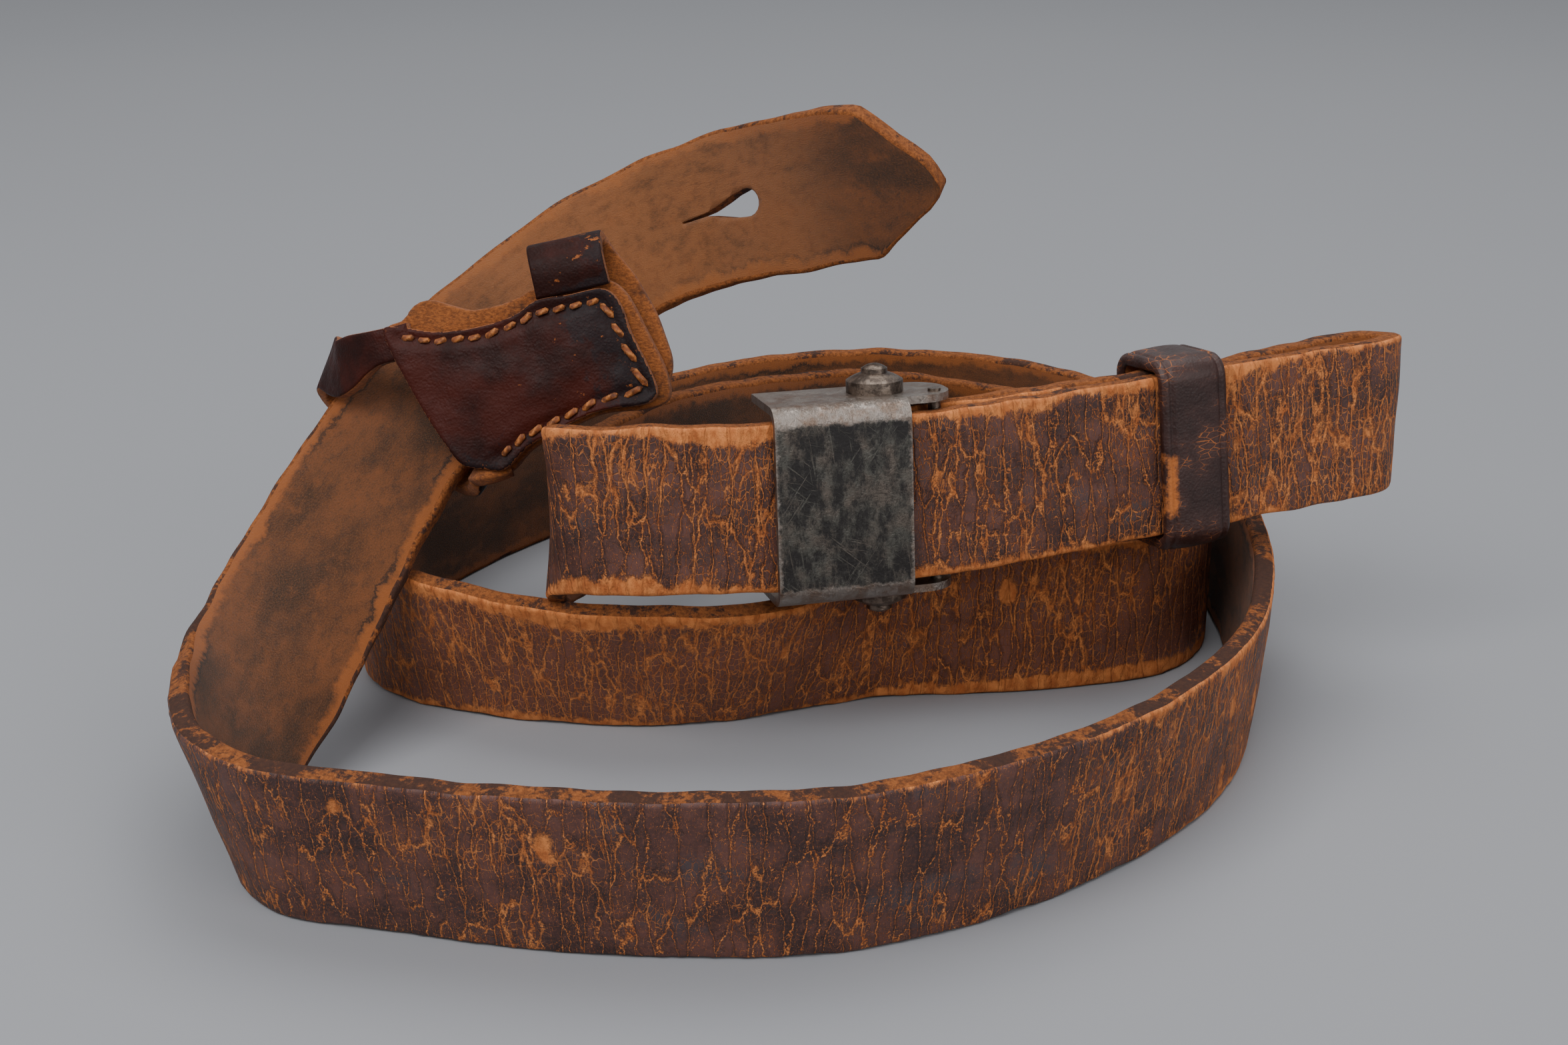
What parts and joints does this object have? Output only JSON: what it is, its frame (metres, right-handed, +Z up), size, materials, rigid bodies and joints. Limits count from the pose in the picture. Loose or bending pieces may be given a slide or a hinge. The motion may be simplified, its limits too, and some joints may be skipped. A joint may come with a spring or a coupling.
{
  "type": "leather carrying sling",
  "caption": "Coiled leather sling strap with a pointed keyhole end, a steel clamp buckle, a sliding keeper and a stitched stud frog.",
  "frame": {"origin": "centre of the coil's box on the floor", "axes": "+Z up out of the floor, +X to the viewer's right along the buckle section, -Y towards the viewer"},
  "size_m": [0.1906, 0.201, 0.0952],
  "materials": {
    "strap_leather": "worn, cracked",
    "keeper_leather": "glossy",
    "frog_leather": "glossy, worn edges",
    "frog_back_leather": "suede",
    "thread": "waxed linen",
    "buckle_steel": "blackened, worn",
    "pin_steel": "worn"
  },
  "bodies": {
    "strap": {"main_strap": "strap_leather", "strap_end_stitches": "thread"},
    "buckle": {"buckle_body": "buckle_steel", "pivot_pin": "pin_steel", "pin_washers": "pin_steel", "friction_bar": "pin_steel"},
    "keeper": {"keeper_band": "keeper_leather", "keeper_stitches": "thread"},
    "frog": {"frog_front": "frog_leather", "frog_back": "frog_back_leather", "frog_loop": "frog_leather", "frog_stitches": "thread", "stud_plate": "buckle_steel"},
    "stud": {"stud": "pin_steel"}
  },
  "joints": [
    {"name": "buckle_hinge", "type": "hinge", "parent": "strap", "child": "buckle", "pos_m": [0.00813, -0.02837, 0.04108], "axis": [-0.0316, 0.1267, 0.9914], "range_deg": [0, 5]},
    {"name": "keeper_slide", "type": "slide", "parent": "strap", "child": "keeper", "axis": [0.9266, 0.3744, 0.0349], "range_m": [-0.008, 0.008]},
    {"name": "frog_slide", "type": "slide", "parent": "strap", "child": "frog", "axis": [-0.5468, -0.6063, -0.5774], "range_m": [-0.004, 0]},
    {"name": "stud_spin", "type": "hinge", "parent": "frog", "child": "stud", "pos_m": [-0.0622, -0.01604, 0.06015], "axis": [-0.0994, -0.9458, 0.309], "continuous": true}
  ]
}
